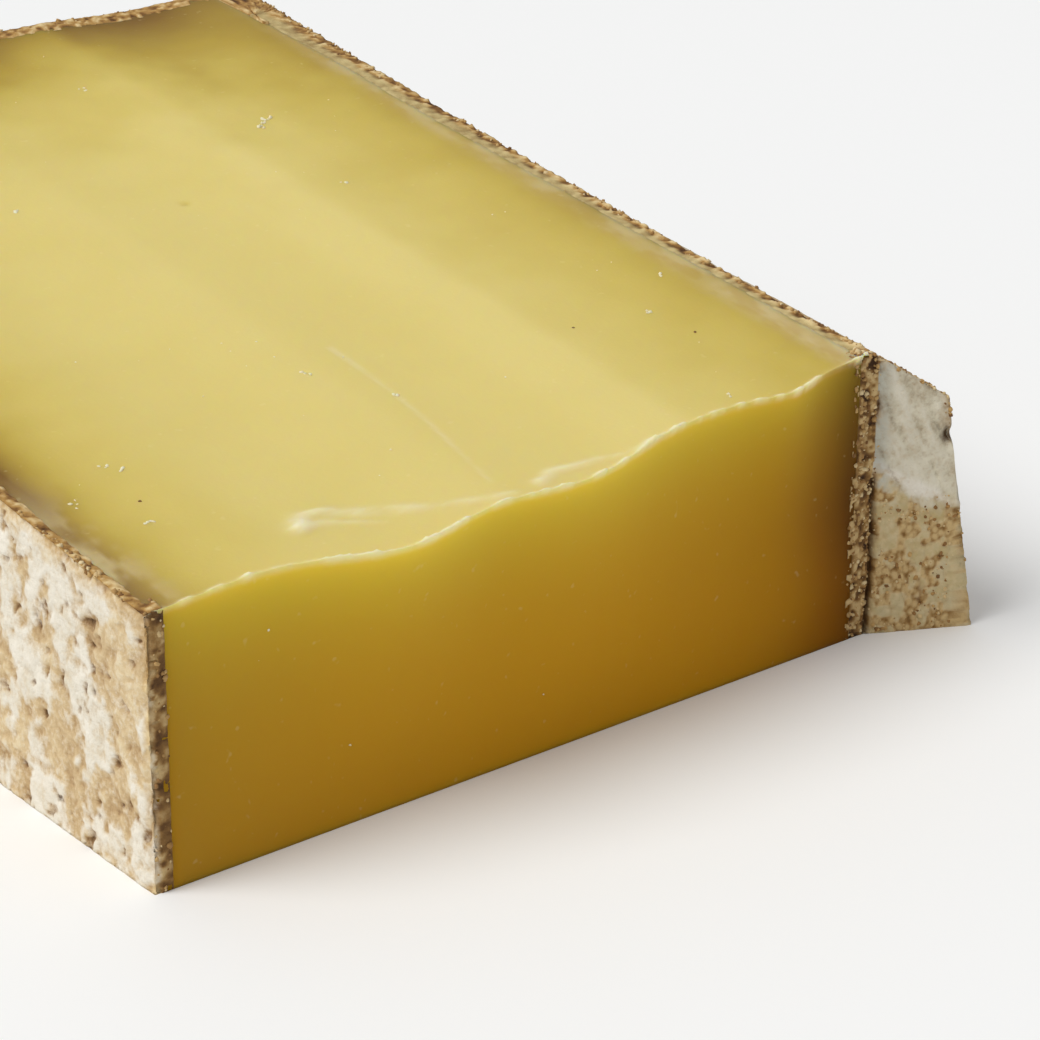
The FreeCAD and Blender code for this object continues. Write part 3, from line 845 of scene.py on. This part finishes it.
# %% Marks and numbers of the paste
def paste_marks(grid, from_edge):
    """Burr along the front edge, shavings, scratch and pit, each from 0 to about 1."""
    x, y = grid[..., 0], grid[..., 1]
    torn = ease(rough_noise(grid * [1, 0.3, 0.3], 2.4, 91), 0.36, 0.60) * rough_noise(grid, 0.9, 89)
    burr = np.exp(-(from_edge / 0.5) ** 2) * (0.2 + 2.4 * torn)
    shaving = (ridge(x, y, SHAVING, 1.4, 0.5) + 0.6 * ridge(x, y, SHAVING_LIP, 1.0, 0.6)
               + 0.8 * ridge(x, y, SECOND_SHAVING, 1.0, 0.3))
    shaving = shaving * ease(rough_noise(grid * [0.5, 1, 1], 1.6, 95), 0.15, 0.75)
    scratch = ridge(x, y, SCRATCH, 0.45, 0.3) * rough_noise(grid, 3.0, 92)
    pit = np.exp(-((x - PIT[0]) ** 2 + (y - PIT[1]) ** 2) / PIT_WIDTH ** 2)
    return burr, shaving, scratch, pit


def paste_tone(grid, on_front):
    """How light the paste is, from 0 to 1: it falls off towards left rind, right rind and heel, and with
    painted shade at the front cut's right end.
    """
    x, y, z = grid[..., 0], grid[..., 1], grid[..., 2]
    to_left = x + LEFT_BELLY
    to_right = edge_x(y) - x
    to_heel = np.maximum(heel_y(x) + RIND - y, 0)
    stray = 0.75 + 0.5 * rough_noise(grid, 9.0, 98)
    top = ((1 - (1.5 - 0.2 * ease(40 - y, 0, 28)) * np.exp(-to_left * stray / 8.0))
           * (1 - 0.95 * np.exp(-(to_right * stray / 17.0) ** 1.3))
           * (1 - np.exp(-(to_heel * stray / 28.0) ** 1.5)))
    # Painted light and shade on the wire's waves of the upper cut: lighter up to each crest, darker just past
    # it, from x of 35 mm on.
    across = (x / WAVE_SPACING) % 1.0
    painted_wave_shading = np.where(across < 0.5, ease(across, 0.05, 0.5), 1 - ease(across, 0.5, 0.66)) * ease(x, 35, 70)
    # On the front cut the paste browns towards both rinds and is darker towards the board; the deep fall at
    # the right end is painted shade of the standing facet.
    front = ((1 - 0.30 * np.exp(-to_left / 9.0) - 0.5 * np.exp(-to_left / 3.0))
             * (1 - (1.05 + 0.27 * ease(z, 6, 22)) * np.exp(-to_right / 16.5))
             * (0.91 + 0.09 * ease(z, 0, 16)))
    return np.clip(np.where(on_front, front, top - 0.05 + 0.14 * painted_wave_shading), 0, 1), to_left, to_right


def make_paste():
    """The paste with its marks: lifts along z on the upper cut, pushes along y on the front cut."""
    grid, edge_y, edge_z = smooth_paste()
    row = np.arange(grid.shape[1])[None, :]
    on_front = row < FRONT_ROWS
    on_top = (row >= FRONT_ROWS) & (row < FRONT_ROWS + TOP_PASTE_ROWS - 1)
    from_edge = np.where(on_front, edge_z - grid[..., 2], grid[..., 1] - edge_y)
    burr, shaving, scratch, pit = paste_marks(grid, from_edge)
    tone, to_left, to_right = paste_tone(grid, on_front)
    speckle = ease(rough_noise(grid * [1, 0.5, 1], 2.4, 99), 0.36, 0.62)
    near_front = ease(40 - grid[..., 1], 0, 28)
    frost = (0.8 * ease(9 - to_left, 0, 7) * near_front * (0.35 + 0.65 * speckle)
             + 0.9 * ease(8 - to_right, 0, 4.0) * (0.7 + 0.3 * near_front)
             * (0.5 + 0.5 * ease(rough_noise(grid, 7.0, 100), 0.3, 0.5)))
    bloom = on_top * (0.95 * shaving + 0.5 * scratch + 0.3 * frost * speckle) + 0.7 * burr
    numbers = {"tone": tone * (1 - 0.3 * pit),
               # front: where the front cut's ramp takes over from the upper cut's painted sheen.
               "front": np.where(on_front, ease(from_edge, 0.0, 0.9), 0.0),
               # edge: painted light, the glow along the front cut's upper edge, fading at both rinds.
               "edge": (np.exp(-from_edge / 1.8) * 0.25 + 0.85 * np.exp(-from_edge / 8.5)) * on_front
                       * (1 - np.exp(-to_right / 14.0)) * (1 - 0.9 * np.exp(-to_left / 5.0)),
               "olive": 0.85 * np.exp(-to_left / 30.0) * ease(to_left, 1.5, 5.0),
               "frost": np.clip(on_top * frost, 0, 1),
               "bloom": np.clip(bloom, 0, 1)}

    wire_lines = soft_noise(grid * [1, 0.06, 0], 2.6, 93) - 0.5
    swell = rough_noise(grid, 18.0, 94, 2) - 0.5
    lift = (0.45 * shaving - 0.10 * scratch - 0.25 * pit + 0.05 * wire_lines + 0.25 * swell - 0.1) * on_top
    drag = (0.22 * (rough_noise(grid * [1, 1, 0.5], 14.0, 96, 2) - 0.6)
            + 0.06 * (soft_noise(grid * [1, 1, 0.15], 1.8, 97) - 0.8)) * (1 - np.exp(-grid[..., 2] / 2))
    x, y = grid[..., 0], grid[..., 1]
    at_left = 1 - ease(x, LEFT_RIND - TUCK, LEFT_RIND)
    tuck = at_left + ease(x, PASTE_WIDTH, PASTE_WIDTH + TUCK)
    under = (at_left + 3 * np.clip((x - PASTE_WIDTH) / RIGHT_TUCK, 0, 1)
             + 3 * ease(y - heel_y(x), 0, TUCK))
    lifted = ~on_front | (from_edge < 0.6)
    grid[..., 2] += np.where(lifted, lift + 0.36 * burr - 0.10 * under * on_top, 0)
    grid[..., 1] += (0.9 * tuck - drag - 0.3 * burr) * on_front
    piece = closed_strip("paste", np.clip(grid, *BOX), paste_material, numbers)
    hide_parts("cheese_block")
    return piece


paste = make_paste()

# %% [markdown]
# ## Loose and grown-in bits
# Particles are lost when a model is exported, so each kind is one mesh: a rough pebble of twenty faces,
# copied, dented, turned and sized for every bit in one array.

# %% Pebbles
def pebble_shape():
    """An icosahedron of radius 1: corners from the golden ratio, and a face for each three that are near."""
    golden = (1 + 5 ** 0.5) / 2
    corners = np.array([np.roll((one, two, 0), turn)
                        for turn in range(3) for two in (golden, -golden) for one in (-1, 1)])
    faces = [face for face in combinations(range(len(corners)), 3)
             if all(math.dist(corners[a], corners[b]) < golden ** 2 for a, b in combinations(face, 2))]
    faces = [face if np.linalg.det(corners[list(face)]) > 0 else face[::-1] for face in faces]
    return corners / np.linalg.norm(corners[0]), np.array(faces)


def random_turns(count, rng):
    """Rotation matrices spread evenly over all directions, from random unit quaternions."""
    quaternion = rng.normal(size=(4, count))
    w, x, y, z = quaternion / np.linalg.norm(quaternion, axis=0)
    return join(1 - 2 * (y * y + z * z), 2 * (x * y - w * z), 2 * (x * z + w * y),
                2 * (x * y + w * z), 1 - 2 * (x * x + z * z), 2 * (y * z - w * x),
                2 * (x * z - w * y), 2 * (y * z + w * x), 1 - 2 * (x * x + y * y)).reshape(count, 3, 3)


def pebbles(name, centres, sizes, shades, material, rng):
    """One mesh of rough pebbles: each has its own dents, proportions and turn, and a shade for its colour."""
    corners, faces = pebble_shape()
    count = len(centres)
    dents = 1 + rng.uniform(-0.3, 0.3, (count, len(corners), 1))
    proportions = join(1.0, rng.uniform(0.6, 1, count), rng.uniform(0.5, 1, count))
    shaped = corners * dents * proportions[:, None] * sizes[:, None, None]
    placed = np.einsum("nij,nkj->nki", random_turns(count, rng), shaped) + centres[:, None]
    all_faces = (faces[None] + np.arange(count)[:, None, None] * len(corners)).reshape(-1, 3)
    return add_piece(name, placed.reshape(-1, 3), all_faces.tolist(), material,
                     {"shade": np.repeat(shades, len(corners))})


# %% [markdown]
# ## Materials of the bits
# Crystals are chalky and let a little light in. Crumbs are dry crust from straw to dark toast: a random
# shade for each picks its colour on a ramp, and fine noise speckles it.

# %% Crystal and crumb materials
def make_crystal_material():
    """Tyrosine crystals: chalky, slightly waxy grains of about half a millimetre."""
    crystal, add, place, carried = new_material("tyrosine_crystal", "shade")
    cloud = add("TexNoise", Vector=place, Scale=1 / 0.4)
    colour = add("Mix", COLOURS, 2, i0=carried["shade"], i6="#EDE3B8", i7="#FBF6E2")
    colour = add("Mix", COLOURS, 2, i0=cloud, i6=colour, i7="#E6D9A8")
    shader = add("BsdfPrincipled", Base_Color=colour, Roughness=0.45, Subsurface_Weight=0.2,
                 Subsurface_Scale=0.5 * MM)
    add("OutputMaterial", Surface=shader)
    return crystal


def make_crumb_material():
    """Crumbs of cut crust: dry, straw to brown, 0.2 to 0.8 mm, with specks of 0.3 mm."""
    crumb, add, place, carried = new_material("crust_crumb", "shade")
    colour = add("ValToRGB", {"stops": [(0.0, "#6B4722"), (0.25, "#A27A44"), (0.6, "#C9A66A"),
                                        (1.0, "#E6D3A4")]}, Fac=carried["shade"])
    speck = add("TexNoise", Vector=place, Scale=1 / 0.3, Detail=2.0)
    speck = add("Math", {"operation": "MULTIPLY"}, i0=speck, i1=0.4)
    colour = add("Mix", COLOURS, 2, i0=speck, i6=colour, i7="#8A6232")
    shader = add("BsdfPrincipled", Base_Color=colour, Roughness=0.85)
    add("OutputMaterial", Surface=shader)
    return crumb


crystal_material = make_crystal_material()
crumb_material = make_crumb_material()
print("materials:", [material.name for material in bpy.data.materials])

# %% [markdown]
# ## Crystals
# In the ripest part of the paste the crystals gather into clumps of a millimetre, each at a place of its
# own. Fine ones lie at random, half sunk in. The front cut has hardly any.

# %% Crystals in the paste
LARGE_CRYSTALS = np.array([(71.8, 135.1), (87.8, 111.3), (89.2, 112.4), (86.7, 110.1), (85.6, 86.9),
                           (41.1, 100.7), (46.9, 39.3), (53.5, 29.2), (104.2, 39.5), (95.8, 31.7),
                           (89.0, 7.6), (13.4, 31.1), (15.0, 29.2), (6.1, 25.5), (10.7, 17.1)])
GRAINS_A_CLUMP, SMALL_ON_TOP, SMALL_IN_FRONT = 4, 60, 4


def make_crystals():
    """Clumps of four grains at their places, and small grains scattered evenly over both cuts."""
    rng = np.random.default_rng(21)
    clumps = np.repeat(LARGE_CRYSTALS, GRAINS_A_CLUMP, axis=0)
    clumps = clumps + rng.normal(0, 0.38, clumps.shape)
    small = join(rng.uniform(6, 104, SMALL_ON_TOP), rng.uniform(8, 150, SMALL_ON_TOP))
    plan = np.concatenate([clumps, small])
    sizes = np.concatenate([rng.uniform(0.20, 0.42, len(clumps)), rng.uniform(0.08, 0.20, len(small))])
    on_top = np.column_stack([plan, top_z(plan[:, 0], plan[:, 1]) - 0.12 - 0.3 * sizes])
    x, z = rng.uniform(8, 80, SMALL_IN_FRONT), rng.uniform(5, 30, SMALL_IN_FRONT)
    in_front = join(x, front_y(x, z) + 0.1, z)
    sizes = np.concatenate([sizes, rng.uniform(0.15, 0.25, len(in_front))])
    centres = np.concatenate([on_top, in_front])
    piece = pebbles("crystals", centres, sizes, rng.random(len(centres)), crystal_material, rng)
    return piece


crystals = make_crystals()

# %% [markdown]
# ## Crumbs
# Crumbs collect where the knife crossed the rind: in clusters along the upper edge, beside the crease and on
# the lower half of the facet. Each rule weighs the points of a strip's grid, and a weighted draw picks those
# that get a crumb.

# %% Crumbs along the cut rind
def near_top(grid, place, level):
    """The uppermost part of the skin and the outer side of the cut edge, in clusters of 5 mm."""
    row = np.arange(grid.shape[1])[None, :]
    outer = 1 - ease(row - (grid.shape[1] - TOP_ROWS), 1, 5)
    return outer * ease(level, 0.965, 0.995) * ease(rough_noise(grid, 5.0, 111), 0.35, 0.6)


def on_facet(grid, place, level):
    """The cut beside the crease, the facet's lower half in clusters of 4.5 mm, and its upper corner."""
    beside_crease = ease(place, CREASE_AT - 1.6, CREASE_AT - 0.6)
    lower = (1 - ease(level, 0.42, 0.52)) * ease(rough_noise(grid, 4.5, 112), 0.46, 0.56)
    return beside_crease + 0.8 * lower * (place < CREASE_AT) + 0.9 * corner_crumbs(place, level)


def at_front(grid, place, level):
    """The cut end of the left rind on the front cut."""
    return (place < FRONT_END + 0.4) * 1.0


CRUMB_GROUPS = [(left_rind, 420, near_top), (left_rind, 50, at_front), (heel_rind, 220, near_top),
                (flank_rind, 520, near_top), (facet_rind, 1100, on_facet)]
DARK_SPECKS = np.array([(84.1, 32.7), (97.2, 23.8), (12.4, 21.7)])  # crumbs pressed into the upper cut


def make_crumbs():
    """Crumbs drawn from the groups, more small ones than large, and three dark specks on the upper cut."""
    rng = np.random.default_rng(31)
    centres = []
    for (grid, normals, place, level), count, rule in CRUMB_GROUPS:
        weight = np.ravel(rule(grid, place, level)) + 1e-9
        picks = rng.choice(weight.size, count, p=weight / weight.sum())
        centres.append(grid.reshape(-1, 3)[picks] - 0.05 * normals.reshape(-1, 3)[picks])
    specks = np.column_stack([DARK_SPECKS, top_z(*DARK_SPECKS.T) - 0.2])
    centres = np.concatenate(centres + [specks])
    sizes = 0.12 + 0.34 * rng.random(len(centres)) ** 2.0
    shades = rng.random(len(centres))
    sizes[-len(specks):], shades[-len(specks):] = 0.3, 0.0
    room = 1.35 * sizes[:, None]  # dents stand out to 1.3 times the size
    centres = np.clip(centres, BOX[0] + room, BOX[1] - room)
    piece = pebbles("crumbs", centres, sizes, shades, crumb_material, rng)
    return piece


crumbs = make_crumbs()

# %% [markdown]
# ## Floor
# A plain pale table top, so large that its edge never shows. It is a stage and not part of the object.

# %% Table
def make_table():
    """A flat square, 4 m across, of pale laminate with hardly any gloss."""
    laminate, add, *_ = new_material("pale_laminate")
    shader = add("BsdfPrincipled", Base_Color="#F7F7F5", Roughness=0.6, Specular_IOR_Level=0.2)
    add("OutputMaterial", Surface=shader)
    mesh = bpy.data.meshes.new("table")
    half = 2.0
    corners = [(-half, -half, 0), (half, -half, 0), (half, half, 0), (-half, half, 0)]
    mesh.from_pydata(corners, [], [(0, 1, 2, 3)])
    mesh.materials.append(laminate)
    table = add_object("table", mesh)
    return table


table = make_table()
print("table:", [round(side, 1) for side in table.dimensions], "m")

# %% [markdown]
# ## Light
# One broad lamp stands high at the left, so the upper cut and the left rind are bright and the front cut lies
# in open shade, lit by sky and table. Together they give a level face about as much light as makes a colour
# look as it is written. The camera sees a paler sky than the one that lights the block, so the background is
# nearly white without more light on the cheese.

# %% Lights
SKY_LEVEL = 0.50
KEY_LEVEL = 0.52  # on a level face
TOWARD_LAMP = Vector((-0.62, 0.14, 0.77)).normalized()

world = bpy.data.worlds.new("studio")
bpy.context.scene.world = world
world.use_nodes = True
world.node_tree.nodes.clear()
to_camera = node(world, "LightPath", output="Is Camera Ray")
sky = node(world, "Background", Color="#FBFCFF", Strength=SKY_LEVEL)
backdrop = node(world, "Background", Color="#F5F6F1", Strength=1.0)
node(world, "OutputWorld", Surface=node(world, "MixShader", i0=to_camera, i1=sky, i2=backdrop))

lamp = bpy.data.lights.new("key", "SUN")
lamp.energy = math.pi * KEY_LEVEL / TOWARD_LAMP.z
lamp.angle = math.radians(40)  # as wide as a soft box, for soft shadows
key = add_object("key", lamp)
key.rotation_euler = TOWARD_LAMP.to_track_quat("Z", "Y").to_euler()
bpy.context.scene.view_settings.view_transform = "Standard"
print("level face, share of full light: %.2f" % (SKY_LEVEL + KEY_LEVEL))
